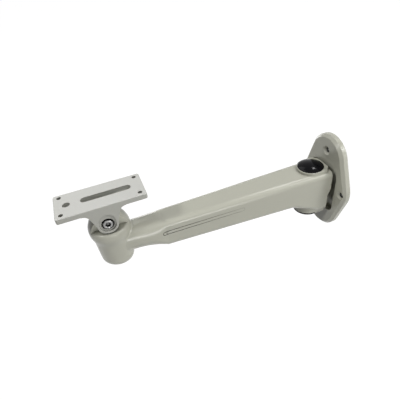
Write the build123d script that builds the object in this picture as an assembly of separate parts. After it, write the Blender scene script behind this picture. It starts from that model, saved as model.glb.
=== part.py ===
from build123d import *
from math import pi, radians, sqrt, tan
import os

# Camera wall bracket: a cast wall plate, a cast arm that swings on an upright pivot bolt, and a slotted
# camera platform that tilts on a cross bolt at the arm's tongue.
# Millimetres. The origin is the centre of the plate's back face. +X runs out from the wall along the arm,
# +Z is up along the pivot bolt, and the bracket is the same on both sides of the XZ plane.

# Wall plate
plate_thickness = 8.7
plate_point_y = 44.4
plate_point_z = 121.5
plate_end_radius = 29.4
plate_side_radius = 33.0
plate_bevel = 3.4
plate_edge_round = 0.8
fixing_hole = 6.0
fixing_sink = 11.0
fixing_z = 45.8
fixing_y = 35.2

# Longer than any cut needs to be, how far a cut runs past a surface, and the tolerance for picking edges
reach_all = 80.0
overrun = 1.0
same = 0.01

# Pocket that the arm's end swings in, and the two hinge lugs that stand on its floor
pocket_floor = 2.6
pocket_half_width = 24.5
pocket_top = 27.5
pocket_bottom = -35.5
pocket_corner = 10.0
pivot_x = 29.4
hinge_z = -1.8
knuckle_radius = 12.0
knuckle_top = 19.8
knuckle_gap = 8.5
web_root = 5.0
web_tip = 9.0
web_sink = 0.5

# Arm
end_x = 11.3
beam_end_x = 222.0
arm_top = 26.7
end_half_width = 20.6
tip_half_width = 15.4
under_near_z = -12.8
under_near_x = 62.0
under_far_z = -7.9
haunch_x = 24.0
haunch_z = -30.4
haunch_bend = 16.0
beam_round = 6.5
duct_round = 4.1
wall = 3.4
relief_x = 14.5
relief_high = 2.2
relief_low = -6.3

# Neck: three rings (x, half width, half height, centre height) that follow the end of the beam
neck_rings = ((238.0, 16.7, 17.3, 12.2), (252.0, 15.9, 16.2, 13.5), (276.0, 18.2, 15.9, 13.8))
neck_wall = 3.8
neck_roundness = 0.9

# Engraved outline along each side of the beam: two fine lines that meet round the end near the neck and
# run out towards the wall
flute_start = 128.0
flute_end = 222.0
flute_z = 12.9
flute_width = 4.2
flute_line = 0.8
flute_depth_start = 0.05
flute_depth_end = 0.55

# Hinge ears
boss_radius = 16.6
pad_reach = 20.4
pad_top = 29.9
pad_round = 0.4
boss_bottom = -34.0
boss_top = -14.0
ear_face = 20.0
ear_ring = 15.4
swing_radius = 12.7
recess_radius = 12.5
recess_floor = 22.6
pivot_clearance = 4.3

# Ball, barrel and tongue at the head
head_x = 278.0
ball_radius = 22.3
ball_z = 34.4
barrel_top_radius = 20.2
barrel_foot_radius = 17.8
barrel_foot_z = -11.6
barrel_foot_tilt = 6.0
barrel_round = 8.0
barrel_bore = 12.2
bore_top = 18.2
crease_round = 24.0
neck_blend = 2.0
tongue_half = 9.0
tongue_radius = 13.0
tongue_sink = 2.0
ledge_z = 40.2
ledge_round = 3.0
tilt_z = 52.2

# Camera platform
platform_length = 89.0
platform_width = 40.0
platform_thickness = 6.1
platform_top = 75.7
platform_corner = 2.2
platform_edge = 0.7
platform_under_edge = 0.8
corner_hole = 4.6
corner_inset_x = 6.0
corner_inset_y = 5.4
thread_hole = 7.6
thread_hole_x = 32.4
slot_width = 8.4
slot_length = 51.0
slot_shift = -6.6
groove_width = 12.6
groove_depth = 3.2
lug_inner = 9.3
lug_radius = 10.6
lug_root_half = 16.5
lug_flare = 7.0
lug_bed_half = 22.0
lug_bed = 4.0
lug_hole = 3.3
spot_radius = 8.4
spot_rise = 4.2
spot_depth = 1.7
screw_well = 6.6
screw_seat = 12.4

# Fasteners: M8 for the pivot, M6 for the tilt
pivot_r = 4.0
pivot_bore = 4.07
pivot_head = 13.0
pivot_head_height = 5.3
pivot_nut_height = 6.5
pivot_washer_radius = 8.0
pivot_washer = 1.6
pivot_spring = 2.0
pivot_spring_radius = 7.2
pivot_bolt_tip = -35.2
pivot_chamfer = 0.8
tilt_r = 3.0
tilt_bore = 3.07
tilt_head_radius = 5.0
tilt_head_height = 6.0
tilt_key = 5.0
tilt_key_depth = 3.2
tilt_chamfer = 0.6
tilt_spring = 1.6
tilt_spring_radius = 5.4
tilt_nut_flats = 10.0
tilt_nut_height = 5.0
tilt_nut_sink = 4.6
tilt_length = 35.0
thread_gap = 0.02
washer_gap = 0.1
nut_gap = 0.1
spring_slit = 0.8
spring_slant = 25.0
hexagon_turning = 30.0

# Blanking caps
cap_radius = 15.8
cap_side = 0.5
cap_dome = 2.4
cap_skirt_radius = 12.35
cap_skirt = 4.0
cap_wall = 1.3


def across(x, z=0.0):
    """Plane that looks along +X, with its own axes along Y and Z."""
    return Plane(origin=(x, 0, z), x_dir=(0, 1, 0), z_dir=(1, 0, 0))


def upright(x=0.0, y=0.0, z=0.0):
    """Plane of the side view, with its own axes along X and Z, that faces -Y."""
    return Plane(origin=(x, y, z), x_dir=(1, 0, 0), z_dir=(0, -1, 0))


def level(x, z):
    """Plane that faces up at a height, centred on the XZ plane."""
    return Plane(origin=(x, 0, z))


def polygon(*points):
    """Polygon whose face looks along its plane's normal, whichever way round the points run."""
    following = points[1:] + points[:1]
    turn = sum(a[0] * b[1] - b[0] * a[1] for a, b in zip(points, following))
    ordered = points if turn > 0 else points[::-1]
    return Polygon(*ordered, align=None)


def plate_outline():
    """Upright rhombus with large round corners, 130.6 tall and 84.6 wide."""
    rhombus = polygon((plate_point_y, 0), (0, plate_point_z), (-plate_point_y, 0), (0, -plate_point_z))
    ends = rhombus.vertices().filter_by(lambda v: abs(v.Y) > same)
    rounded = fillet(ends, plate_end_radius)
    sides = rounded.vertices().filter_by(lambda v: abs(v.Y) < same)
    return fillet(sides, plate_side_radius)


def bevelled_slab():
    """The plate's body, with a bevel round its front."""
    slab = extrude(across(0) * plate_outline(), plate_thickness)
    slab = chamfer(slab.faces().sort_by(Axis.X)[-1].edges(), plate_bevel)
    front = slab.faces().sort_by(Axis.X)[-1].edges()
    rim = slab.edges().filter_by(lambda e: abs(e.center().X - plate_thickness + plate_bevel) < same)
    return fillet(front + rim, plate_edge_round)


def pocket():
    """Room in the plate's front for the end of the arm as it swings."""
    height = pocket_top - pocket_bottom
    middle = (pocket_top + pocket_bottom) / 2
    outline = RectangleRounded(2 * pocket_half_width, height, pocket_corner)
    return extrude(across(pocket_floor, middle) * outline, plate_thickness)


def hinge_lug(low, high):
    """One lug on the pocket floor: a barrel round the pivot and a web that widens towards it."""
    reach = pivot_x - pocket_floor + web_sink
    web = polygon((-reach, -web_root), (-reach, web_root), (0, web_tip), (0, -web_tip))
    outline = Circle(knuckle_radius) + web
    return extrude(level(pivot_x, low) * outline, high - low)


def fixing_cutter(y, z):
    """Countersunk screw hole through the plate."""
    sink_depth = (fixing_sink - fixing_hole) / 2
    hole = extrude(across(-overrun) * Pos(y, z) * Circle(fixing_hole / 2), plate_thickness + 2 * overrun)
    sink = Pos(plate_thickness - sink_depth / 2, y, z) * Rot(0, 90, 0) * Cone(
        fixing_hole / 2, fixing_sink / 2, sink_depth
    )
    return hole + sink


def wall_plate():
    plate = bevelled_slab() - pocket()
    for low, high in ((knuckle_gap, knuckle_top), (-knuckle_top, -knuckle_gap)):
        plate += hinge_lug(hinge_z + low, hinge_z + high)
    for y, z in ((0, fixing_z), (0, -fixing_z), (fixing_y, 0), (-fixing_y, 0)):
        plate -= fixing_cutter(y, z)
    plate -= extrude(level(pivot_x, -reach_all) * Circle(pivot_bore), 2 * reach_all)
    return plate


def half_width(x):
    """Half width of the beam at a distance from the wall."""
    share = (x - end_x) / (beam_end_x - end_x)
    return end_half_width + share * (tip_half_width - end_half_width)


def beam(inset, round_radius, start_x):
    """Tapered box beam with its haunch over the hinge, drawn in by inset on every side."""
    side = polygon(
        (start_x, arm_top - inset),
        (beam_end_x, arm_top - inset),
        (beam_end_x, under_far_z + inset),
        (under_near_x, under_near_z + inset),
        (haunch_x, haunch_z + inset),
        (start_x, haunch_z + inset),
    )
    bends = side.vertices().filter_by(lambda v: haunch_x - overrun < v.X < under_near_x + overrun)
    side = fillet(bends, haunch_bend)
    plan = polygon(
        (start_x, half_width(start_x) - inset),
        (beam_end_x, tip_half_width - inset),
        (beam_end_x, inset - tip_half_width),
        (start_x, inset - half_width(start_x)),
    )
    profile = extrude(upright() * side, 2 * end_half_width, both=True)
    solid = profile & extrude(plan, reach_all, both=True)
    long_edges = [edge for edge in solid.edges() if edge.bounding_box().size.X > overrun]
    return fillet(long_edges, round_radius)


def neck(body, inset):
    """Loft from the beam's end face to the neck's rings."""
    rings = [body.faces().sort_by(Axis.X)[-1]]
    for x, half_across, half_high, z in neck_rings:
        w = half_across - inset
        h = half_high - inset
        rings.append(across(x, z) * RectangleRounded(2 * w, 2 * h, neck_roundness * min(w, h)))
    return loft(rings)


def flute_cutter(side):
    """Engraved outline with round ends on the tapered side of the beam, deepest at the neck."""
    length = flute_end - flute_start
    middle = (flute_start + flute_end) / 2
    taper = (end_half_width - tip_half_width) / (beam_end_x - end_x)
    lean = taper + (flute_depth_end - flute_depth_start) / length
    depth = (flute_depth_start + flute_depth_end) / 2
    y = side * (half_width(middle) - depth)
    outline = SlotOverall(length + flute_line, flute_width + flute_line)
    outline -= SlotOverall(length - flute_line, flute_width - flute_line)
    tool = extrude(upright() * outline, -side * overrun)
    return Pos(middle, y, flute_z) * Rot(0, 0, -side * lean * 180 / pi) * tool


def d_outline(radius, end):
    """Round away from the wall and straight-sided towards it."""
    length = pivot_x - end
    return Circle(radius) + Pos(-length / 2, 0) * Rectangle(length, 2 * radius)


def ear_pads():
    """The raised pad over the hinge and the boss under it."""
    outline = d_outline(boss_radius, end_x) & Circle(pad_reach)
    pad = extrude(level(pivot_x, arm_top - wall) * outline, pad_top - arm_top + wall)
    pad = fillet(pad.faces().sort_by(Axis.Z)[-1].edges(), pad_round)
    boss = extrude(level(pivot_x, boss_bottom) * d_outline(boss_radius, relief_x), boss_top - boss_bottom)
    return pad + boss


def ear_rings():
    """Solid rings inside the arm that carry the pivot bolt's seats."""
    upper_face = hinge_z + ear_face
    lower_face = hinge_z - ear_face
    upper = extrude(level(pivot_x, upper_face) * Circle(ear_ring), arm_top - upper_face)
    lower = extrude(level(pivot_x, boss_bottom) * Circle(ear_ring), lower_face - boss_bottom)
    return upper + lower


def pivot_cutters():
    """Recesses for the bolt head, the nut and the caps, and the bolt's hole."""
    hole = extrude(level(pivot_x, 0) * Circle(pivot_clearance), reach_all, both=True)
    upper = extrude(level(pivot_x, hinge_z + recess_floor) * Circle(recess_radius), reach_all)
    lower = extrude(level(pivot_x, hinge_z - recess_floor) * Circle(recess_radius), -reach_all)
    return hole + upper + lower


def end_relief():
    """The lower half of the arm's end stands further back from the plate."""
    outline = polygon(
        (end_x - overrun, relief_high),
        (end_x, relief_high),
        (relief_x, relief_low),
        (relief_x, -reach_all),
        (end_x - overrun, -reach_all),
    )
    return extrude(upright() * outline, 2 * end_half_width, both=True)


def ball_and_barrel():
    """Ball over a tapered barrel with a tilted foot, with the crease between them rounded out."""
    low = barrel_foot_z - barrel_round
    height = ball_z - low
    slope = (barrel_top_radius - barrel_foot_radius) / (ball_z - barrel_foot_z)
    barrel = Pos(head_x, 0, low) * Cone(
        barrel_top_radius - slope * height,
        barrel_top_radius,
        height,
        align=(Align.CENTER, Align.CENTER, Align.MIN),
    )
    waste = Cylinder(2 * barrel_top_radius, height, align=(Align.CENTER, Align.CENTER, Align.MAX))
    barrel -= Pos(head_x, 0, barrel_foot_z) * Rot(0, -barrel_foot_tilt, 0) * waste
    ball = Pos(head_x, 0, ball_z) * Sphere(ball_radius)
    body = ball + barrel
    circles = body.edges().filter_by(GeomType.CIRCLE)
    crease = [e for e in circles if barrel_foot_z + barrel_round < e.center().Z < ball_z]
    body = fillet(crease, crease_round)
    foot = body.faces().sort_by(Axis.Z)[0].edges()
    return fillet(foot, barrel_round)


def neck_and_head(outer):
    """Neck, ball and barrel in one, with a small blend where they meet and ledges cut for the lugs."""
    stem = neck(outer, 0)
    knob = ball_and_barrel()
    body = stem + knob
    seam = [e for e in body.edges() if stem.distance_to(e @ 0.5) < same and knob.distance_to(e @ 0.5) < same]
    body = fillet(seam, neck_blend) - lug_room()
    rims = [e for e in body.edges().filter_by(GeomType.CIRCLE) if abs(e.center().Z - ledge_z) < same]
    return fillet(rims, ledge_round)


def lug_room():
    """Cuts that leave the tongue standing on the ball, with a level ledge at each side."""
    depth = ball_radius
    height = 2 * ball_radius
    room = []
    for side in (-1, 1):
        y = side * (tongue_half + depth / 2)
        room.append(Pos(head_x, y, ledge_z + height / 2) * Box(3 * ball_radius, depth, height))
    return room[0] + room[1]


def tongue():
    """Round-topped tongue that the platform's lugs pinch."""
    foot = tilt_z - ledge_z + tongue_sink
    outline = Circle(tongue_radius) + Pos(0, -foot / 2) * Rectangle(2 * tongue_radius, foot)
    return extrude(upright(head_x, 0, tilt_z) * outline, tongue_half, both=True)


def barrel_duct():
    """Open bore in the barrel, with a domed top, where a cable leaves the arm."""
    low = barrel_foot_z - barrel_round
    bore = extrude(level(head_x, low) * Circle(barrel_bore), bore_top - low)
    return bore + Pos(head_x, 0, bore_top) * Sphere(barrel_bore)


def arm():
    outer = beam(0, beam_round, end_x)
    inner = beam(wall, duct_round, end_x - overrun)
    body = outer + ear_pads() + neck_and_head(outer) + tongue()
    body -= inner
    body -= neck(inner, neck_wall)
    body -= barrel_duct()
    body -= extrude(level(pivot_x, hinge_z - ear_face) * Circle(swing_radius), 2 * ear_face)
    body += ear_rings()
    body -= pivot_cutters()
    body -= end_relief()
    for side in (-1, 1):
        body -= flute_cutter(side)
    body -= extrude(upright(head_x, 0, tilt_z) * Circle(tilt_bore), ball_radius, both=True)
    return body


def lug_outline():
    """Side view of a lug: round end, sloping flanks and a flare under the platform."""
    root = platform_top - platform_thickness - tilt_z
    flank = polygon((-lug_radius, 0), (-lug_root_half, root), (lug_root_half, root), (lug_radius, 0))
    bed = Pos(0, root + lug_bed / 2) * Rectangle(2 * lug_bed_half, lug_bed)
    outline = Circle(lug_radius) + flank + bed
    corners = [v for v in outline.vertices() if abs(abs(v.X) - lug_root_half) + abs(v.Y - root) < same]
    return fillet(corners, lug_flare)


def platform_lug(side):
    """Lug flush with the platform's long side."""
    thickness = platform_width / 2 - lug_inner
    start = side * lug_inner
    body = extrude(upright(head_x, start, tilt_z) * lug_outline(), -side * thickness)
    floor = side * (platform_width / 2 - spot_depth)
    outline = Circle(spot_radius) + Pos(0, spot_rise) * Circle(spot_radius)
    outline += Pos(0, spot_rise / 2) * Rectangle(2 * spot_radius, spot_rise)
    spot = extrude(upright(head_x, floor, tilt_z) * outline, -side * 2 * spot_depth)
    return body - spot


def platform_plate():
    """Flat plate with its slot, its corner holes and the groove for a screw head under the slot."""
    z = platform_top - platform_thickness
    outline = RectangleRounded(platform_length, platform_width, platform_corner)
    plate = extrude(level(head_x, z) * outline, platform_thickness)
    plate = fillet(plate.faces().sort_by(Axis.Z)[-1].edges(), platform_edge)
    plate = fillet(plate.faces().sort_by(Axis.Z)[0].edges(), platform_under_edge)
    through = platform_thickness + 2 * overrun
    slot = level(head_x + slot_shift, z - overrun) * SlotOverall(slot_length, slot_width)
    plate -= extrude(slot, through)
    groove_length = slot_length + groove_width - slot_width
    plate -= extrude(level(head_x + slot_shift, z) * SlotOverall(groove_length, groove_width), groove_depth)
    hole_x = platform_length / 2 - corner_inset_x
    hole_y = platform_width / 2 - corner_inset_y
    for x, y in ((-hole_x, -hole_y), (-hole_x, hole_y), (hole_x, -hole_y), (hole_x, hole_y)):
        plate -= extrude(level(head_x, z - overrun) * Pos(x, y) * Circle(corner_hole / 2), through)
    hole = level(head_x + thread_hole_x, z - overrun) * Circle(thread_hole / 2)
    return plate - extrude(hole, through)


def camera_platform():
    body = platform_plate() + platform_lug(1) + platform_lug(-1)
    body -= extrude(upright(head_x, 0, tilt_z) * Circle(lug_hole), platform_width, both=True)
    body -= extrude(upright(head_x, screw_seat, tilt_z) * Circle(screw_well), -platform_width)
    nut_room = RegularPolygon(tilt_nut_flats / 2 + nut_gap, 6, major_radius=False)
    body -= extrude(upright(head_x, nut_seat(), tilt_z) * nut_room, platform_width)
    return body


def nut_seat():
    """Where the tilt nut bears on the far lug, along Y."""
    return spot_depth + tilt_nut_sink - platform_width / 2


def ring(outer, inner, height):
    return extrude(Circle(outer) - Circle(inner), height)


def split_ring(outer, inner, height):
    """Spring washer: a ring with a slanted cut."""
    slit = Box(outer, spring_slit, 3 * height)
    cut = Pos((outer + inner) / 2, 0, height / 2) * Rot(spring_slant, 0, 0) * slit
    return ring(outer, inner, height) - cut


def chamfered_hexagon(flats, height, both_ends):
    """Hexagon prism whose corners are turned off by a cone."""
    prism = extrude(RegularPolygon(flats / 2, 6, major_radius=False), height)
    corner = flats / sqrt(3)
    drop = (corner - flats / 2) * tan(radians(hexagon_turning))
    turned = Cylinder(corner, height - drop, align=(Align.CENTER, Align.CENTER, Align.MIN))
    turned += Pos(0, 0, height - drop) * Cone(
        corner, flats / 2, drop, align=(Align.CENTER, Align.CENTER, Align.MIN)
    )
    prism &= turned
    if both_ends:
        prism &= Pos(0, 0, height) * Rot(180, 0, 0) * turned
    return prism


def pivot_bolt():
    """Hexagon bolt, head up."""
    seat = hinge_z + recess_floor + pivot_washer
    length = seat - pivot_bolt_tip
    shank = chamfer(extrude(Circle(pivot_r), -length).faces().sort_by(Axis.Z)[0].edges(), pivot_chamfer)
    return Pos(pivot_x, 0, seat) * (chamfered_hexagon(pivot_head, pivot_head_height, False) + shank)


def pivot_washers():
    washer = ring(pivot_washer_radius, pivot_clearance, pivot_washer)
    upper = Pos(pivot_x, 0, hinge_z + recess_floor) * washer
    lower = Pos(pivot_x, 0, hinge_z - recess_floor - pivot_washer) * washer
    return Compound(children=[upper, lower])


def pivot_spring_washer():
    z = hinge_z - recess_floor - pivot_washer - pivot_spring
    return Pos(pivot_x, 0, z) * split_ring(pivot_spring_radius, pivot_r + washer_gap, pivot_spring)


def pivot_nut():
    z = hinge_z - recess_floor - pivot_washer - pivot_spring - pivot_nut_height
    nut = chamfered_hexagon(pivot_head, pivot_nut_height, True)
    return Pos(pivot_x, 0, z) * (nut - extrude(Circle(pivot_r + thread_gap), pivot_nut_height))


def blanking_cap():
    """Domed cap with a skirt that presses into the recess, drawn with its rim on z = 0."""
    dome_radius = (cap_radius**2 + cap_dome**2) / (2 * cap_dome)
    centre = Pos(0, 0, cap_side + cap_dome - dome_radius)
    height = cap_side + cap_dome
    above = Pos(0, 0, cap_side) * extrude(Circle(cap_radius), cap_dome)
    shell = extrude(Circle(cap_radius), cap_side) + (above & centre * Sphere(dome_radius))
    room = extrude(Circle(cap_skirt_radius - cap_wall), height)
    shell -= room & centre * Sphere(dome_radius - cap_wall)
    skirt = Pos(0, 0, -cap_skirt) * ring(cap_skirt_radius, cap_skirt_radius - cap_wall, cap_skirt)
    return shell + skirt


def top_cap():
    return Pos(pivot_x, 0, pad_top) * blanking_cap()


def bottom_cap():
    return Pos(pivot_x, 0, boss_bottom) * Rot(180, 0, 0) * blanking_cap()


def tilt_bolt():
    """Socket cap screw along Y, head towards +Y."""
    head = extrude(Circle(tilt_head_radius), tilt_head_height)
    head = chamfer(head.faces().sort_by(Axis.Z)[-1].edges(), tilt_chamfer)
    key = extrude(RegularPolygon(tilt_key / 2, 6, major_radius=False), tilt_head_height)
    socket = Pos(0, 0, tilt_head_height - tilt_key_depth) * key
    shank = chamfer(extrude(Circle(tilt_r), -tilt_length).faces().sort_by(Axis.Z)[0].edges(), tilt_chamfer)
    seat = screw_seat + tilt_spring
    return Pos(head_x, seat, tilt_z) * Rot(-90, 0, 0) * (head - socket + shank)


def tilt_spring_washer():
    return Pos(head_x, screw_seat, tilt_z) * Rot(-90, 0, 0) * split_ring(
        tilt_spring_radius, tilt_r + washer_gap, tilt_spring
    )


def tilt_nut():
    nut = chamfered_hexagon(tilt_nut_flats, tilt_nut_height, True)
    nut -= extrude(Circle(tilt_r + thread_gap), tilt_nut_height)
    return Pos(head_x, nut_seat(), tilt_z) * Rot(90, 0, 0) * nut


nodes = {
    "wall_plate": wall_plate(),
    "arm": arm(),
    "camera_platform": camera_platform(),
    "pivot_bolt": pivot_bolt(),
    "pivot_washers": pivot_washers(),
    "pivot_spring_washer": pivot_spring_washer(),
    "pivot_nut": pivot_nut(),
    "top_cap": top_cap(),
    "bottom_cap": bottom_cap(),
    "tilt_bolt": tilt_bolt(),
    "tilt_spring_washer": tilt_spring_washer(),
    "tilt_nut": tilt_nut(),
}

os.makedirs("parts", exist_ok=True)
for name, shape in nodes.items():
    export_step(shape, "parts/" + name + ".step")
    print(name, len(shape.solids()), "solids", round(shape.volume / 1000, 2), "cm3")
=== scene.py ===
# Camera wall bracket in a plain pale studio, seen from beside the platform and above it.
# Metres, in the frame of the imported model: X out from the wall, Z up along the pivot bolt.

import math

import bmesh
import bpy
from mathutils import Matrix, Vector


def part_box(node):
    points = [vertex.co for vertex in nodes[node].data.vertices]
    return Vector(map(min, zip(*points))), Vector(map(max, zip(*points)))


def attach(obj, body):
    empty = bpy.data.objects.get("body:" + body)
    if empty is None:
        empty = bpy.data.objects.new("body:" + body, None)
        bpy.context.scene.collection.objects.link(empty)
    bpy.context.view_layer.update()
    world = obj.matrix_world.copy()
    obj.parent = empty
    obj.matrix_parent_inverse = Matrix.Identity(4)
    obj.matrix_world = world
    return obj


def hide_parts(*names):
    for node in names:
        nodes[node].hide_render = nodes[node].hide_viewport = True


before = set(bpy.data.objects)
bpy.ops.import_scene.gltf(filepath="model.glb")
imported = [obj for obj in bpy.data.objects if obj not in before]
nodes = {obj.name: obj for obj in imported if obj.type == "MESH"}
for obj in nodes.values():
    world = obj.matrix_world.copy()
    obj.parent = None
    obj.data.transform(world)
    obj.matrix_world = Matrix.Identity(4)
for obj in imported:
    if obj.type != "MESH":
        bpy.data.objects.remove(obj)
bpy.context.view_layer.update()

MM = 0.001

# Where the photograph was taken from
EYE = Vector((0.2664, 0.3061, 0.2823))
VIEW_RIGHT = Vector((-0.929, 0.356, -0.096))
VIEW_BACK = Vector((0.225, 0.753, 0.618))
LENS_MM = 32.31
SENSOR_MM = 36.0
CLIP_START = 0.01

# Soft square lamps: direction from the bracket's middle, side in metres and power in watts
LAMP_AIM = Vector((0.16, 0.0, 0.02))
LAMP_DISTANCE = 1.7
LAMPS = {
    "high": ((0.30, -0.24, 0.92), 0.4, 4.5),
    "overhead": ((-0.45, -0.15, 0.88), 0.24, 6.0),
    "back_high": ((0.20, -0.60, 0.77), 0.8, 4.5),
    "right_high": ((-0.60, 0.50, 0.62), 0.45, 6.8),
    "right": ((-0.80, 0.60, 0.10), 0.6, 6.5),
    "front_high": ((0.00, 0.60, 0.80), 0.8, 2.0),
    "front_low": ((-0.08, 0.97, -0.22), 0.8, 16.5),
    "left_high": ((0.60, 0.20, 0.77), 0.25, 9.0),
    "far_side": ((-0.10, -0.96, -0.15), 0.8, 4.5),
}

# Floor: its height, half its side, and its glow, which rises between two distances from the origin because
# the lamps light it less there
FLOOR_Z = -0.45
FLOOR_HALF = 30.0
GLOW_RISE = (0.6, 1.6)
GLOW_STRENGTH = (0.9, 1.0)

# Finishes, as linear colours
WHITE = (1.0, 1.0, 1.0, 1.0)
FLOOR_PAPER = (0.2, 0.2, 0.2, 1.0)
CAST_GREY = (0.480, 0.478, 0.402, 1.0)
# Painted shade in the groove of the engraved outline
OUTLINE_SHADE = (0.09, 0.09, 0.07, 1.0)
# Painted shade in the fixing holes
HOLE_SHADE = (0.06, 0.06, 0.05, 1.0)
PLATFORM_PAINT = (0.427, 0.427, 0.385, 1.0)
# Painted light: the platform's top face is lighter than its sides
PLATFORM_TOP_LIT = (0.57, 0.57, 0.535, 1.0)
ZINC = (0.27, 0.27, 0.265, 1.0)
CAP_BLACK = (0.004, 0.004, 0.005, 1.0)

# Powder coat: its fine grain, the clouds in its tone and gloss, and its roughness
GRAIN_SIZE = 0.7 * MM
GRAIN_DETAIL = 2.0
GRAIN_BUMP = 0.12
GRAIN_HEIGHT = 0.08 * MM
CLOUD_SCALE = 38.0
CLOUD_DETAIL = 3.0
UNEVENNESS = 0.025
CAST_ROUGHNESS = 0.27
PLATFORM_ROUGHNESS = 0.34

# Painted shade in recesses: how far it reaches and its darkest tone on each casting, and how open a point is
# where the shade is full and where it ends
ARM_REACH = 6.0 * MM
ARM_DARKEST = 0.38
PLATE_REACH = 8.0 * MM
PLATE_DARKEST = 0.62
PLATFORM_REACH = 6.0 * MM
PLATFORM_DARKEST = 0.6
RECESS_OPENNESS = (0.25, 0.9)

# Rays that look for recesses and edges at each point
SHADING_SAMPLES = 8

# Radius that small edges take up under the paint
EDGE_ROUND = 0.35 * MM

# Painted highlight along edges: its width, how much lighter it is, and how alike the flat and the rounded
# normals are on it and off it
EDGE_HIGHLIGHT_WIDTH = 0.6 * MM
EDGE_HIGHLIGHT_GAIN = 1.15
EDGE_LIKENESS = (0.93, 0.99)

# Where the beam runs into the neck: extra radius, and where it grows and fades along X
NECK_ROUND = 2.6 * MM
NECK_GROWS = (0.208, 0.218)
NECK_FADES = (0.232, 0.246)

# The beam's upper edges, fuller towards the wall: radius, the height where they start, and along X where
# they begin at the wall and where they end
SHOULDER_ROUND = 5.0 * MM
SHOULDER_FOOT = (16.0 * MM, 19.0 * MM)
SHOULDER_WALL = (0.052, 0.070)
SHOULDER_END = (0.120, 0.200)

# Engraved outline on each side of the arm, with painted shade along its groove. Its line is full up to the
# first of two distances and gone at the other
OUTLINE_START = 0.128
OUTLINE_END = 0.226
OUTLINE_Z = 12.9 * MM
OUTLINE_WIDTH = 4.2 * MM
OUTLINE_LINE = (0.225 * MM, 0.75 * MM)
OUTLINE_FAINT = 0.22
OUTLINE_STRONG = 1.0
ARM_SIDE = (12.0 * MM, 13.5 * MM)

# Fixing holes in the wall plate: half their spacing across and up, how far the painted shade in them
# reaches, and the width over which it fades out
HOLE_ACROSS = 35.2 * MM
HOLE_UP = 45.8 * MM
HOLE_SHADE_RADIUS = 3.4 * MM
HOLE_FADE = 0.4 * MM

# Band under the platform's top face where its paint turns into the top's painted light, as depths
LIT_TOP_FROM = 0.9 * MM
LIT_TOP_TO = 0.1 * MM

# Zinc plating: its speckle, roughness, painted shade in recesses, bump and soft edges
ZINC_SPECKLE = 900.0
ZINC_DETAIL = 2.0
ZINC_ROUGHNESS = (0.22, 0.36)
ZINC_REACH = 5.0 * MM
ZINC_DARKEST = 0.02
ZINC_BUMP = 0.05
ZINC_HEIGHT = 0.03 * MM
ZINC_EDGE = 0.2 * MM

# Black plastic: its flow marks, roughness, gloss, painted shade in recesses, bump and soft edges
PLASTIC_FLOW = 160.0
PLASTIC_DETAIL = 2.0
PLASTIC_ROUGHNESS = (0.10, 0.16)
PLASTIC_SPECULAR = 0.08
PLASTIC_REACH = 3.0 * MM
PLASTIC_DARKEST = 0.6
PLASTIC_BUMP = 0.04
PLASTIC_HEIGHT = 0.05 * MM
PLASTIC_EDGE = 0.4 * MM

# Moulded caps over the pivot bolt's head and nut: crown, skirt and its distance inside the rim, wall,
# chamfered edge, and the rim's height
CAP_CROWN = 4.4 * MM
CAP_SKIRT = 4.0 * MM
CAP_SKIRT_GAP = 3.45 * MM
CAP_WALL = 1.3 * MM
CAP_EDGE = 0.35 * MM
CAP_RIM = 0.5 * MM
CAP_POINTS = 128
CROWN_STEPS = 24

# The lower cap's lip: how far it stands out past the rim, its wall, and how far it goes along the boss
BOTTOM_LIP = 0.95 * MM
BOTTOM_LIP_WALL = 0.12 * MM
BOTTOM_LIP_RISE = 1.4 * MM

# The slot, and a thin wall that carries its sides down through the groove for the camera screw's head: how
# far it stands into the slot and into the casting, and how far its top and foot are from the two faces
SLOT_CENTRE = 271.4 * MM
SLOT_LENGTH = 51.0 * MM
SLOT_WIDTH = 8.4 * MM
PLATFORM_THICK = 6.1 * MM
LIP_STEP = 0.16 * MM
LIP_WALL = 0.35 * MM
LIP_DEPTH = 2.2 * MM
LIP_FOOT = 0.05 * MM
BEND_POINTS = 24

# Socket cap screw through the platform's lugs: head length, radius, pitch, the thread's root and length, and
# the chamfer of its tip and its head
SCREW_HEAD = 6.0 * MM
SCREW_SHANK = 3.0 * MM
SCREW_PITCH = 1.0 * MM
SCREW_ROOT = 2.45 * MM
SCREW_THREAD = 10.5 * MM
SCREW_POINT = 0.6 * MM
SCREW_POINTS = 96
PITCH_STEPS = 8

# Its hexagon socket: width across flats, depth, the mouth's radius and chamfer, and the cone at the bottom
KEY_WIDTH = 5.0 * MM
KEY_DEPTH = 3.2 * MM
KEY_MOUTH = 3.0 * MM
KEY_CHAMFER = 0.3 * MM
KEY_CONE = 0.8 * MM
KEY_CONE_TIP = 0.1 * MM

# The knurl round its head, and how far over the head's underside it starts
KNURL_RIDGES = 40
KNURL_HEIGHT = 0.18 * MM
KNURL_LENGTH = 4.4 * MM
KNURL_START = 0.2 * MM
RIDGE_SIDES = 6

# Angle past which an edge of a new piece stays sharp
SHARP_DEGREES = 32


def set_camera():
    back = VIEW_BACK.normalized()
    right = (VIEW_RIGHT - back * VIEW_RIGHT.dot(back)).normalized()
    up = back.cross(right)
    data = bpy.data.cameras.new("camera")
    data.lens = LENS_MM
    data.sensor_width = SENSOR_MM
    data.clip_start = CLIP_START
    camera = bpy.data.objects.new("camera", data)
    camera.matrix_world = Matrix.Translation(EYE) @ Matrix((right, up, back)).transposed().to_4x4()
    bpy.context.collection.objects.link(camera)
    bpy.context.scene.camera = camera


def area_lamp(name, direction, size, power):
    """Square soft lamp that stands in a direction from the bracket's middle and points at it."""
    data = bpy.data.lights.new(name, "AREA")
    data.shape = "SQUARE"
    data.size = size
    data.energy = power
    lamp = bpy.data.objects.new(name, data)
    towards = Vector(direction).normalized()
    lamp.location = LAMP_AIM + towards * LAMP_DISTANCE
    lamp.rotation_euler = towards.to_track_quat("Z", "Y").to_euler()
    bpy.context.collection.objects.link(lamp)


# Nodes


def feed(tree, value, target):
    """Link an input to a socket, or set it to a plain value."""
    if isinstance(value, bpy.types.NodeSocket):
        tree.links.new(value, target)
    else:
        target.default_value = value


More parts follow.
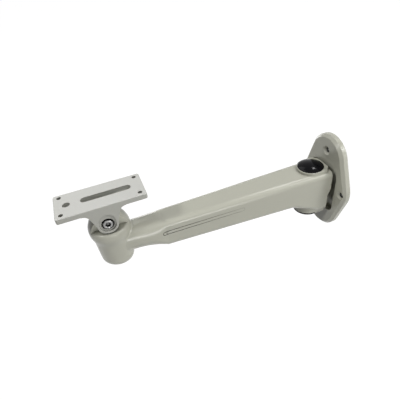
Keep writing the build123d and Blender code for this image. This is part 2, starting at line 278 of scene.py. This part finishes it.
def wire(tree, *pairs):
    """Link sockets in pairs, each from an output to an input."""
    for source, target in pairs:
        tree.links.new(source, target)


def maths(tree, operation, *values):
    """Math node whose inputs are sockets or plain values."""
    node = tree.nodes.new("ShaderNodeMath")
    node.operation = operation
    for slot, value in enumerate(values):
        feed(tree, value, node.inputs[slot])
    return node.outputs["Value"]


def diagonal(tree, across, up):
    """Distance that two offsets at right angles make together."""
    across_squared = maths(tree, "MULTIPLY", across, across)
    up_squared = maths(tree, "MULTIPLY", up, up)
    return maths(tree, "SQRT", maths(tree, "ADD", across_squared, up_squared))


def ramp(tree, value, low, high, at_low, at_high, smooth=True):
    """Map a value from one range to another, held at both ends."""
    node = tree.nodes.new("ShaderNodeMapRange")
    node.interpolation_type = "SMOOTHSTEP" if smooth else "LINEAR"
    node.inputs["From Min"].default_value = low
    node.inputs["From Max"].default_value = high
    node.inputs["To Min"].default_value = at_low
    node.inputs["To Max"].default_value = at_high
    tree.links.new(value, node.inputs["Value"])
    return node.outputs["Result"]


# White surroundings


def seen_directly(tree):
    """1 for what the camera sees itself, or in gloss or through glass."""
    path = tree.nodes.new("ShaderNodeLightPath")
    first = maths(tree, "MAXIMUM", path.outputs["Is Camera Ray"], path.outputs["Is Glossy Ray"])
    return maths(tree, "MAXIMUM", first, path.outputs["Is Transmission Ray"])


def set_world():
    """White wherever it is seen, with no light of its own on the bracket."""
    world = bpy.data.worlds.new("studio")
    bpy.context.scene.world = world
    world.use_nodes = True
    tree = world.node_tree
    tree.nodes.clear()
    output = tree.nodes.new("ShaderNodeOutputWorld")
    pale = tree.nodes.new("ShaderNodeBackground")
    pale.inputs["Color"].default_value = WHITE
    wire(
        tree,
        (seen_directly(tree), pale.inputs["Strength"]),
        (pale.outputs["Background"], output.inputs["Surface"]),
    )


def make_floor():
    mesh = bpy.data.meshes.new("floor")
    corners = [(x * FLOOR_HALF, y * FLOOR_HALF, FLOOR_Z) for x, y in ((-1, -1), (1, -1), (1, 1), (-1, 1))]
    mesh.from_pydata(corners, [], [(0, 1, 2, 3)])
    floor = bpy.data.objects.new("floor", mesh)
    bpy.context.collection.objects.link(floor)
    material = bpy.data.materials.new("floor_paper")
    material.use_nodes = True
    tree = material.node_tree
    tree.nodes.clear()
    output = tree.nodes.new("ShaderNodeOutputMaterial")
    paper = tree.nodes.new("ShaderNodeBsdfDiffuse")
    paper.inputs["Color"].default_value = FLOOR_PAPER
    glow = tree.nodes.new("ShaderNodeEmission")
    glow.inputs["Color"].default_value = WHITE
    place = tree.nodes.new("ShaderNodeTexCoord")
    away = tree.nodes.new("ShaderNodeVectorMath")
    away.operation = "LENGTH"
    both = tree.nodes.new("ShaderNodeAddShader")
    strength = ramp(tree, away.outputs["Value"], *GLOW_RISE, *GLOW_STRENGTH)
    wire(
        tree,
        (place.outputs["Object"], away.inputs[0]),
        (maths(tree, "MULTIPLY", seen_directly(tree), strength), glow.inputs["Strength"]),
        (paper.outputs["BSDF"], both.inputs[0]),
        (glow.outputs["Emission"], both.inputs[1]),
        (both.outputs["Shader"], output.inputs["Surface"]),
    )
    mesh.materials.append(material)


# Patterns on object coordinates, and normals


def own_place(tree):
    """X, Y and Z of the surface in the bracket's frame."""
    place = tree.nodes.new("ShaderNodeTexCoord")
    split = tree.nodes.new("ShaderNodeSeparateXYZ")
    tree.links.new(place.outputs["Object"], split.inputs["Vector"])
    return split.outputs["X"], split.outputs["Y"], split.outputs["Z"]


def noise(tree, scale, detail):
    """Noise on object coordinates, from 0 to 1. The scale is a value or a socket."""
    place = tree.nodes.new("ShaderNodeTexCoord")
    node = tree.nodes.new("ShaderNodeTexNoise")
    node.inputs["Detail"].default_value = detail
    feed(tree, scale, node.inputs["Scale"])
    tree.links.new(place.outputs["Object"], node.inputs["Vector"])
    return node.outputs["Fac"]


def toned(tree, colour, factor):
    """A colour made lighter or darker by a factor."""
    tint = tree.nodes.new("ShaderNodeVectorMath")
    tint.operation = "SCALE"
    wire(tree, (colour, tint.inputs[0]), (factor, tint.inputs["Scale"]))
    return tint.outputs["Vector"]


def mixed(tree, factor, first, second):
    """The first colour where the factor is 0, the second where it is 1."""
    mix = tree.nodes.new("ShaderNodeMix")
    mix.data_type = "RGBA"
    mix.inputs["A"].default_value = first
    mix.inputs["B"].default_value = second
    tree.links.new(factor, mix.inputs["Factor"])
    return mix.outputs["Result"]


def rounded(tree, radius):
    """Normal of the surface as if its edges were rounded by a radius, a value or a socket."""
    bevel = tree.nodes.new("ShaderNodeBevel")
    bevel.samples = SHADING_SAMPLES
    feed(tree, radius, bevel.inputs["Radius"])
    return bevel.outputs["Normal"]


# Effects that the finishes share


def new_group(name, inputs, outputs):
    """Shader node group with named sockets, and its input and output nodes."""
    group = bpy.data.node_groups.new(name, "ShaderNodeTree")
    for label, kind, value in inputs:
        socket = group.interface.new_socket(label, in_out="INPUT", socket_type=kind)
        socket.default_value = value
    for label, kind in outputs:
        group.interface.new_socket(label, in_out="OUTPUT", socket_type=kind)
    return group, group.nodes.new("NodeGroupInput"), group.nodes.new("NodeGroupOutput")


def powder_skin():
    """Fine orange-peel of a powder coat, with a little unevenness in tone and gloss."""
    tree, enter, leave = new_group(
        "powder_skin",
        [
            ("Colour", "NodeSocketColor", CAST_GREY),
            ("Grain size", "NodeSocketFloat", GRAIN_SIZE),
            ("Unevenness", "NodeSocketFloat", UNEVENNESS),
            ("Roughness", "NodeSocketFloat", CAST_ROUGHNESS),
        ],
        [("Colour", "NodeSocketColor"), ("Roughness", "NodeSocketFloat"), ("Height", "NodeSocketFloat")],
    )
    grain = noise(tree, maths(tree, "DIVIDE", 1.0, enter.outputs["Grain size"]), GRAIN_DETAIL)
    drift = ramp(tree, noise(tree, CLOUD_SCALE, CLOUD_DETAIL), 0.0, 1.0, -1.0, 1.0, smooth=False)
    amount = maths(tree, "MULTIPLY_ADD", drift, enter.outputs["Unevenness"], 1.0)
    wire(
        tree,
        (toned(tree, enter.outputs["Colour"], amount), leave.inputs["Colour"]),
        (maths(tree, "MULTIPLY", enter.outputs["Roughness"], amount), leave.inputs["Roughness"]),
        (grain, leave.inputs["Height"]),
    )
    return tree


def painted_recess_shade():
    """Painted shade: a surface's tone darkened in narrow gaps, wells and inside corners."""
    tree, enter, leave = new_group(
        "painted_recess_shade",
        [
            ("Colour", "NodeSocketColor", CAST_GREY),
            ("Reach", "NodeSocketFloat", ARM_REACH),
            ("Darkest", "NodeSocketFloat", ARM_DARKEST),
        ],
        [("Colour", "NodeSocketColor")],
    )
    gap = tree.nodes.new("ShaderNodeAmbientOcclusion")
    gap.samples = SHADING_SAMPLES
    openness = ramp(tree, gap.outputs["AO"], *RECESS_OPENNESS, 0.0, 1.0, smooth=False)
    span = maths(tree, "SUBTRACT", 1.0, enter.outputs["Darkest"])
    tone = maths(tree, "MULTIPLY_ADD", openness, span, enter.outputs["Darkest"])
    wire(
        tree,
        (enter.outputs["Reach"], gap.inputs["Distance"]),
        (toned(tree, enter.outputs["Colour"], tone), leave.inputs["Colour"]),
    )
    return tree


def painted_edge_highlight():
    """Mask of the thin line along each edge, where a painted highlight lightens the paint."""
    tree, enter, leave = new_group(
        "painted_edge_highlight", [("Width", "NodeSocketFloat", EDGE_HIGHLIGHT_WIDTH)], [("Mask", "NodeSocketFloat")]
    )
    shape = tree.nodes.new("ShaderNodeNewGeometry")
    likeness = tree.nodes.new("ShaderNodeVectorMath")
    likeness.operation = "DOT_PRODUCT"
    wire(
        tree,
        (rounded(tree, enter.outputs["Width"]), likeness.inputs[0]),
        (shape.outputs["True Normal"], likeness.inputs[1]),
        (ramp(tree, likeness.outputs["Value"], *EDGE_LIKENESS, 1.0, 0.0), leave.inputs["Mask"]),
    )
    return tree


# Finishes


def place_group(tree, group, **values):
    """Group node with its own values for some of its inputs."""
    node = tree.nodes.new("ShaderNodeGroup")
    node.node_tree = group
    for label, value in values.items():
        node.inputs[label].default_value = value
    return node


def base_material(name):
    material = bpy.data.materials.new(name)
    material.use_nodes = True
    tree = material.node_tree
    tree.nodes.clear()
    output = tree.nodes.new("ShaderNodeOutputMaterial")
    shader = tree.nodes.new("ShaderNodeBsdfPrincipled")
    tree.links.new(shader.outputs["BSDF"], output.inputs["Surface"])
    return material, tree, shader


def add_bump(tree, shader, height, strength, distance, soft_edge):
    """Bump over edges that are rounded by soft_edge, a radius as a value or a socket."""
    bump = tree.nodes.new("ShaderNodeBump")
    bump.inputs["Strength"].default_value = strength
    bump.inputs["Distance"].default_value = distance
    wire(
        tree,
        (height, bump.inputs["Height"]),
        (rounded(tree, soft_edge), bump.inputs["Normal"]),
        (bump.outputs["Normal"], shader.inputs["Normal"]),
    )


def powder_coat(name, colour, roughness, reach, darkest, soft_edge=None):
    """Satin powder coat. The colour, and a soft edge that varies, are functions that add nodes to the
    material's tree and give a socket back."""
    material, tree, shader = base_material(name)
    coat = place_group(tree, skin_group, Unevenness=UNEVENNESS, Roughness=roughness)
    # Painted shade in recesses
    recess = place_group(tree, recess_shade_group, Reach=reach, Darkest=darkest)
    # Painted highlight along edges
    edge_light = place_group(tree, edge_highlight_group, Width=EDGE_HIGHLIGHT_WIDTH)
    gain = ramp(tree, edge_light.outputs["Mask"], 0.0, 1.0, 1.0, EDGE_HIGHLIGHT_GAIN)
    wire(
        tree,
        (colour(tree), coat.inputs["Colour"]),
        (toned(tree, coat.outputs["Colour"], gain), recess.inputs["Colour"]),
        (recess.outputs["Colour"], shader.inputs["Base Color"]),
        (coat.outputs["Roughness"], shader.inputs["Roughness"]),
    )
    edge = soft_edge(tree) if soft_edge else EDGE_ROUND
    add_bump(tree, shader, coat.outputs["Height"], GRAIN_BUMP, GRAIN_HEIGHT, edge)
    return material


def platform_colour(tree):
    """The platform's paint, with its top face painted lighter, as painted light from above."""
    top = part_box("camera_platform")[1].z
    _, _, z = own_place(tree)
    lit_top = ramp(tree, z, top - LIT_TOP_FROM, top - LIT_TOP_TO, 0.0, 1.0)
    return mixed(tree, lit_top, PLATFORM_PAINT, PLATFORM_TOP_LIT)


def plate_colour(tree):
    """The wall plate's paint, with painted shade in the fixing holes."""
    _, y, z = own_place(tree)
    across = maths(tree, "ABSOLUTE", y)
    up = maths(tree, "ABSOLUTE", z)
    to_side_hole = diagonal(tree, maths(tree, "SUBTRACT", across, HOLE_ACROSS), up)
    to_end_hole = diagonal(tree, across, maths(tree, "SUBTRACT", up, HOLE_UP))
    nearest = maths(tree, "MINIMUM", to_side_hole, to_end_hole)
    hole_shade = ramp(tree, nearest, HOLE_SHADE_RADIUS - HOLE_FADE, HOLE_SHADE_RADIUS, 1.0, 0.0)
    return mixed(tree, hole_shade, CAST_GREY, HOLE_SHADE)


def arm_colour(tree):
    """The arm's paint, with painted shade in the engraved outline along each side."""
    x, y, z = own_place(tree)
    middle = (OUTLINE_START + OUTLINE_END) / 2
    straight = (OUTLINE_END - OUTLINE_START - OUTLINE_WIDTH) / 2
    along = maths(tree, "ABSOLUTE", maths(tree, "SUBTRACT", x, middle))
    past = maths(tree, "MAXIMUM", maths(tree, "SUBTRACT", along, straight), 0.0)
    radius = diagonal(tree, past, maths(tree, "SUBTRACT", z, OUTLINE_Z))
    off_line = maths(tree, "ABSOLUTE", maths(tree, "SUBTRACT", radius, OUTLINE_WIDTH / 2))
    line = ramp(tree, off_line, *OUTLINE_LINE, 1.0, 0.0)
    fade = ramp(tree, x, OUTLINE_START, OUTLINE_END, OUTLINE_FAINT, OUTLINE_STRONG, smooth=False)
    on_side = ramp(tree, maths(tree, "ABSOLUTE", y), *ARM_SIDE, 0.0, 1.0)
    amount = maths(tree, "MULTIPLY", maths(tree, "MULTIPLY", line, fade), on_side)
    return mixed(tree, amount, CAST_GREY, OUTLINE_SHADE)


def arm_edge(tree):
    """Edge radius that grows where the beam runs into the neck, and along its upper edges near the wall."""
    x, _, z = own_place(tree)
    rise = ramp(tree, x, *NECK_GROWS, 0.0, NECK_ROUND)
    fall = ramp(tree, x, *NECK_FADES, 1.0, 0.0)
    neck = maths(tree, "MULTIPLY_ADD", rise, fall, EDGE_ROUND)
    upper = ramp(tree, z, *SHOULDER_FOOT, 0.0, SHOULDER_ROUND)
    clear = ramp(tree, x, *SHOULDER_WALL, 0.0, 1.0)
    slim = ramp(tree, x, *SHOULDER_END, 1.0, 0.0)
    return maths(tree, "MULTIPLY_ADD", maths(tree, "MULTIPLY", clear, slim), upper, neck)


def zinc_plate():
    """Zinc plating, with painted shade in the socket and round the shank."""
    material, tree, shader = base_material("zinc_steel")
    speckle = noise(tree, ZINC_SPECKLE, ZINC_DETAIL)
    recess = place_group(tree, recess_shade_group, Colour=ZINC, Reach=ZINC_REACH, Darkest=ZINC_DARKEST)
    wire(
        tree,
        (ramp(tree, speckle, 0.0, 1.0, *ZINC_ROUGHNESS, smooth=False), shader.inputs["Roughness"]),
        (recess.outputs["Colour"], shader.inputs["Base Color"]),
    )
    shader.inputs["Metallic"].default_value = 1.0
    add_bump(tree, shader, speckle, ZINC_BUMP, ZINC_HEIGHT, ZINC_EDGE)
    return material


def cap_plastic():
    """Glossy black moulding, with painted shade in its recesses."""
    material, tree, shader = base_material("cap_plastic")
    flow = noise(tree, PLASTIC_FLOW, PLASTIC_DETAIL)
    recess = place_group(tree, recess_shade_group, Colour=CAP_BLACK, Reach=PLASTIC_REACH, Darkest=PLASTIC_DARKEST)
    wire(
        tree,
        (ramp(tree, flow, 0.0, 1.0, *PLASTIC_ROUGHNESS, smooth=False), shader.inputs["Roughness"]),
        (recess.outputs["Colour"], shader.inputs["Base Color"]),
    )
    shader.inputs["Specular IOR Level"].default_value = PLASTIC_SPECULAR
    add_bump(tree, shader, flow, PLASTIC_BUMP, PLASTIC_HEIGHT, PLASTIC_EDGE)
    return material


# Pieces


def skinned(name, rings, looped=False):
    """Closed mesh over rings of points, as a new object: with a pole at each end, or looped."""
    form = bmesh.new()
    rows = [[form.verts.new(point) for point in ring] for ring in rings]
    following = rows[1:] + rows[:1] if looped else rows[1:]
    for low, high in zip(rows, following):
        for step in range(len(low)):
            ahead = (step + 1) % len(low)
            form.faces.new((low[step], low[ahead], high[ahead], high[step]))
    ends = () if looped else (rows[0], rows[-1])
    for row in ends:
        pole = form.verts.new(sum((point.co for point in row), Vector()) / len(row))
        for step in range(len(row)):
            form.faces.new((row[step], row[(step + 1) % len(row)], pole))
    bmesh.ops.recalc_face_normals(form, faces=form.faces)
    mesh = bpy.data.meshes.new(name)
    form.to_mesh(mesh)
    form.free()
    mesh.polygons.foreach_set("use_smooth", [True] * len(mesh.polygons))
    mesh.set_sharp_from_angle(angle=math.radians(SHARP_DEGREES))
    piece = bpy.data.objects.new(name, mesh)
    bpy.context.collection.objects.link(piece)
    return piece


def full_turn(count):
    """Angles of points spaced evenly round a circle."""
    return [2 * math.pi * step / count for step in range(count)]


def crown(radius, rise, inset):
    """Points of a domed crown's outline from near its middle out, as far as an inset from its radius."""
    ball = (radius**2 + rise**2) / (2 * rise)
    for step in range(1, CROWN_STEPS + 1):
        out = (radius - inset) * step / CROWN_STEPS
        yield out, math.sqrt(ball**2 - out**2) - (ball - rise)


def moulded_cap(node, facing, plastic, lip=0.0):
    """Domed cap with a push-in skirt, on the seat of its CAD node. Facing is 1 up or -1 down.
    A lip makes the rim wider by that much and carries it a little way along the boss."""
    low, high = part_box(node)
    centre = (low + high) / 2
    radius = (high.x - low.x) / 2 + lip
    skirt = (high.x - low.x) / 2 - CAP_SKIRT_GAP
    bore = skirt - CAP_WALL
    seat = low.z + CAP_SKIRT if facing > 0 else high.z - CAP_SKIRT
    outer = [(out, CAP_RIM + up) for out, up in crown(radius, CAP_CROWN, CAP_EDGE)]
    inner = [(out * bore / radius, CAP_RIM + up - CAP_WALL) for out, up in crown(radius, CAP_CROWN, 0.0)]
    outline = outer + [(radius, outer[-1][1] - CAP_EDGE)]
    if lip:
        inside = radius - BOTTOM_LIP_WALL
        outline += [(radius, -BOTTOM_LIP_RISE), (inside, -BOTTOM_LIP_RISE), (inside, 0.0)]
    else:
        outline += [(radius, 0.0)]
    outline += [(skirt, 0.0), (skirt, -CAP_SKIRT), (bore, -CAP_SKIRT)]
    outline += [(out, max(up, 0.0)) for out, up in reversed(inner)]
    rings = []
    for out, up in outline:
        z = seat + facing * up
        rings.append(
            [(centre.x + out * math.cos(a), centre.y + out * math.sin(a), z) for a in full_turn(CAP_POINTS)]
        )
    piece = skinned(node + "_moulding", rings)
    piece.data.materials.append(plastic)
    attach(piece, "arm")
    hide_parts(node)


def slot_lip(paint):
    """Thin wall that follows the slot all round and closes it off from the groove below."""
    low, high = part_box("camera_platform")
    top = high.z - LIP_DEPTH
    foot = high.z - PLATFORM_THICK + LIP_FOOT
    straight = (SLOT_LENGTH - SLOT_WIDTH) / 2
    middle = (low.y + high.y) / 2
    rings = []
    for out, z in ((LIP_WALL, top), (-LIP_STEP, top), (-LIP_STEP, foot), (LIP_WALL, foot)):
        radius = SLOT_WIDTH / 2 + out
        ring = []
        for side, start in ((1, -0.5), (-1, 0.5)):
            for step in range(BEND_POINTS + 1):
                angle = math.pi * (start + step / BEND_POINTS)
                x = SLOT_CENTRE + side * straight + radius * math.cos(angle)
                ring.append((x, middle + radius * math.sin(angle), z))
        rings.append(ring)
    piece = skinned("slot_lip", rings, looped=True)
    piece.data.materials.append(paint)
    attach(piece, "platform")


def key_radius(angle):
    """Distance from the screw's axis to the wall of its hexagon socket, in one direction."""
    sixth = math.pi / 3
    return KEY_WIDTH / 2 / math.cos((angle % sixth) - sixth / 2)


def thread_radius(angle, along):
    """Distance from the axis to a V thread, at an angle and a distance along the screw."""
    phase = (along / SCREW_PITCH + angle / (2 * math.pi)) % 1.0
    return SCREW_ROOT + (SCREW_SHANK - SCREW_ROOT) * abs(2 * phase - 1)


def screw_body(centre, tip, under_head, head_radius):
    """Screw along Y with its thread, chamfered head and hexagon socket, before knurling."""
    top = under_head + SCREW_HEAD
    smooth = head_radius - KNURL_HEIGHT
    stations = [(tip, lambda a: SCREW_SHANK - SCREW_POINT)]
    steps = round(SCREW_THREAD / SCREW_PITCH * PITCH_STEPS)
    for step in range(steps + 1):
        along = SCREW_POINT + (SCREW_THREAD - SCREW_POINT) * step / steps
        stations.append((tip + along, lambda a, along=along: thread_radius(a, along)))
    stations += [
        (tip + SCREW_THREAD + SCREW_PITCH, lambda a: SCREW_SHANK),
        (under_head, lambda a: SCREW_SHANK),
        (under_head, lambda a: smooth),
        (top - 2 * SCREW_POINT, lambda a: smooth),
        (top - SCREW_POINT, lambda a: head_radius),
        (top, lambda a: head_radius - SCREW_POINT),
        (top, lambda a: KEY_MOUTH),
        (top - KEY_CHAMFER, key_radius),
        (top - KEY_DEPTH, key_radius),
        (top - KEY_DEPTH - KEY_CONE, lambda a: KEY_CONE_TIP),
    ]
    rings = []
    for y, reach in stations:
        ring = []
        for angle in full_turn(SCREW_POINTS):
            out = reach(angle)
            ring.append((centre.x + out * math.cos(angle), y, centre.z + out * math.sin(angle)))
        rings.append(ring)
    return skinned("tilt_screw", rings)


def knurl_tree():
    """Geometry nodes that set ridges side by side round a screw's head, along Y."""
    tree = bpy.data.node_groups.new("knurled_head", "GeometryNodeTree")
    for label, kind in (
        ("Geometry", "NodeSocketGeometry"),
        ("Ridges", "NodeSocketInt"),
        ("Radius", "NodeSocketFloat"),
        ("Ridge", "NodeSocketFloat"),
        ("Length", "NodeSocketFloat"),
        ("Place", "NodeSocketVector"),
        ("Finish", "NodeSocketMaterial"),
    ):
        tree.interface.new_socket(label, in_out="INPUT", socket_type=kind)
    tree.interface.new_socket("Geometry", in_out="OUTPUT", socket_type="NodeSocketGeometry")
    enter = tree.nodes.new("NodeGroupInput")
    leave = tree.nodes.new("NodeGroupOutput")
    circle = tree.nodes.new("GeometryNodeMeshCircle")
    ridge = tree.nodes.new("GeometryNodeMeshCylinder")
    ridge.inputs["Vertices"].default_value = RIDGE_SIDES
    copies = tree.nodes.new("GeometryNodeInstanceOnPoints")
    settle = tree.nodes.new("GeometryNodeTransform")
    settle.inputs["Rotation"].default_value = (math.pi / 2, 0.0, 0.0)
    join = tree.nodes.new("GeometryNodeJoinGeometry")
    real = tree.nodes.new("GeometryNodeRealizeInstances")
    finish = tree.nodes.new("GeometryNodeSetMaterial")
    wire(
        tree,
        (enter.outputs["Ridges"], circle.inputs["Vertices"]),
        (enter.outputs["Radius"], circle.inputs["Radius"]),
        (enter.outputs["Ridge"], ridge.inputs["Radius"]),
        (enter.outputs["Length"], ridge.inputs["Depth"]),
        (circle.outputs["Mesh"], copies.inputs["Points"]),
        (ridge.outputs["Mesh"], copies.inputs["Instance"]),
        (copies.outputs["Instances"], settle.inputs["Geometry"]),
        (enter.outputs["Place"], settle.inputs["Translation"]),
        (settle.outputs["Geometry"], join.inputs["Geometry"]),
        (enter.outputs["Geometry"], join.inputs["Geometry"]),
        (join.outputs["Geometry"], real.inputs["Geometry"]),
        (real.outputs["Geometry"], finish.inputs["Geometry"]),
        (enter.outputs["Finish"], finish.inputs["Material"]),
        (finish.outputs["Geometry"], leave.inputs["Geometry"]),
    )
    return tree


def made_plain(piece, tree, values):
    """Run a geometry node tree with named values on a piece, and keep its result as the piece's mesh."""
    modifier = piece.modifiers.new(tree.name, "NODES")
    modifier.node_group = tree
    for item in tree.interface.items_tree:
        if item.in_out == "INPUT" and item.name in values:
            modifier[item.identifier] = values[item.name]
    graph = bpy.context.evaluated_depsgraph_get()
    mesh = bpy.data.meshes.new_from_object(piece.evaluated_get(graph), depsgraph=graph)
    piece.modifiers.remove(modifier)
    piece.data = mesh


def tilt_screw(steel):
    """Socket cap screw with a knurled head, in place of the plain one."""
    low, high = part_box("tilt_bolt")
    centre = (low + high) / 2
    head_radius = (high.x - low.x) / 2
    under_head = high.y - SCREW_HEAD
    piece = screw_body(centre, low.y, under_head, head_radius)
    place = (centre.x, under_head + KNURL_START + KNURL_LENGTH / 2, centre.z)
    made_plain(piece, knurl_tree(), {
        "Ridges": KNURL_RIDGES,
        "Radius": head_radius - KNURL_HEIGHT,
        "Ridge": KNURL_HEIGHT,
        "Length": KNURL_LENGTH,
        "Place": place,
        "Finish": steel,
    })
    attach(piece, "platform")
    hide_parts("tilt_bolt")


def dress(node, material):
    mesh = nodes[node].data
    mesh.materials.clear()
    mesh.materials.append(material)


# The scene

bpy.context.scene.view_settings.view_transform = "Standard"
set_camera()
set_world()
make_floor()
for name, (direction, lamp_size, power) in LAMPS.items():
    area_lamp(name, direction, lamp_size, power)

skin_group = powder_skin()
recess_shade_group = painted_recess_shade()
edge_highlight_group = painted_edge_highlight()
plate_paint = powder_coat("plate_paint", plate_colour, CAST_ROUGHNESS, PLATE_REACH, PLATE_DARKEST)
arm_paint = powder_coat("arm_paint", arm_colour, CAST_ROUGHNESS, ARM_REACH, ARM_DARKEST, arm_edge)
platform_paint = powder_coat(
    "platform_paint", platform_colour, PLATFORM_ROUGHNESS, PLATFORM_REACH, PLATFORM_DARKEST
)
zinc = zinc_plate()
black = cap_plastic()

dress("wall_plate", plate_paint)
dress("arm", arm_paint)
dress("camera_platform", platform_paint)
for name in nodes:
    if name.startswith(("pivot_", "tilt_")):
        dress(name, zinc)
    elif name.endswith("_cap"):
        dress(name, black)
moulded_cap("top_cap", 1, black)
moulded_cap("bottom_cap", -1, black, BOTTOM_LIP)
slot_lip(platform_paint)
tilt_screw(zinc)
